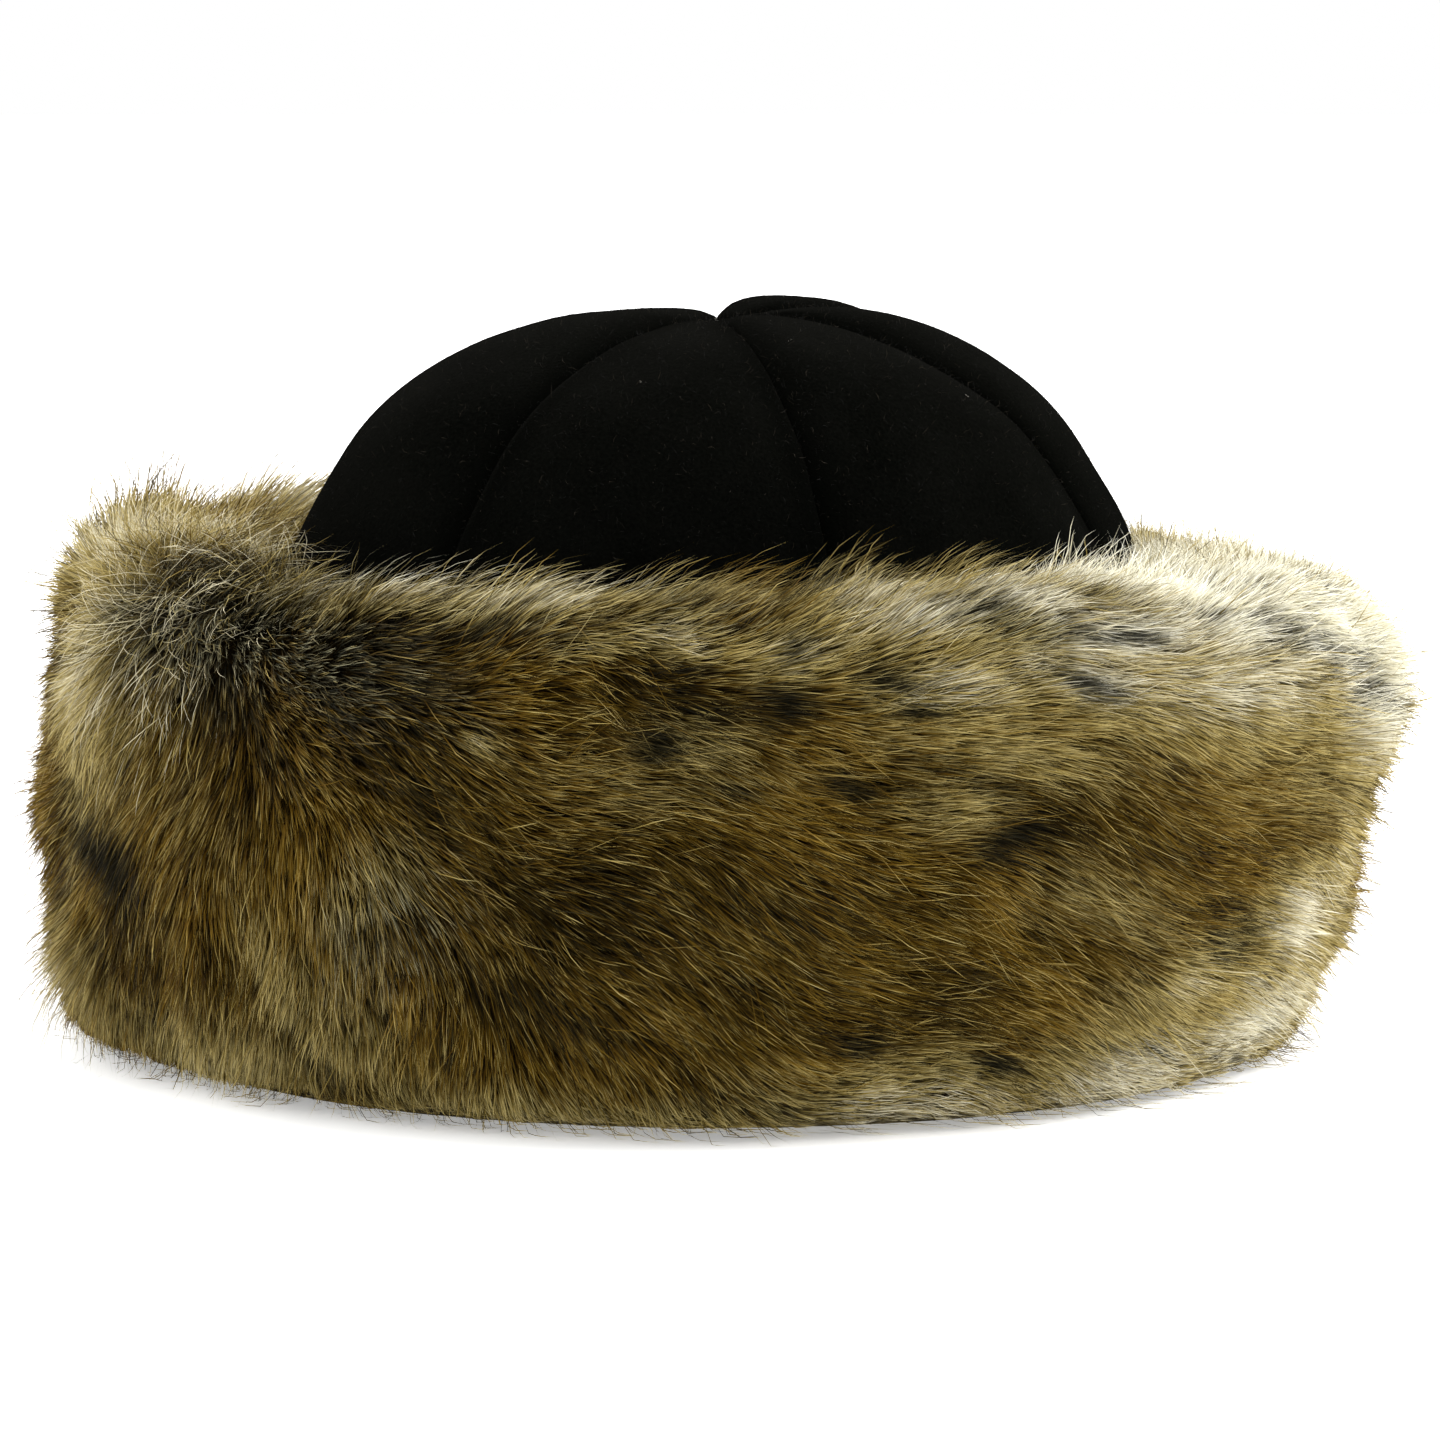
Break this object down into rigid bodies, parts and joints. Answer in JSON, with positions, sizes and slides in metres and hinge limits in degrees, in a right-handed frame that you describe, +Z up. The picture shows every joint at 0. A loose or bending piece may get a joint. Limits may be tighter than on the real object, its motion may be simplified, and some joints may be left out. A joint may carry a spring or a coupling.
{
  "type": "fur hat",
  "caption": "Round hat with a gored black felt crown, puffed between sunk seams, and a deep, thick brown fur cuff all round it.",
  "frame": {"origin": "middle of the hat's box, on the surface that it stands on", "axes": "+Z up through the crown; +Y to the back, where the cuff's seam is; +X to the wearer's left"},
  "size_m": [0.278, 0.289, 0.1574],
  "materials": {
    "felt": "matte black wool felt with a short fuzz",
    "fur": "long golden brown fur, dark at the root, with cream and dark tips"
  },
  "bodies": {
    "root": {"crown_gore_1": "felt", "crown_gore_2": "felt", "crown_gore_3": "felt", "crown_gore_4": "felt", "crown_gore_5": "felt", "crown_gore_6": "felt", "fur_cuff": "fur"}
  },
  "joints": []
}
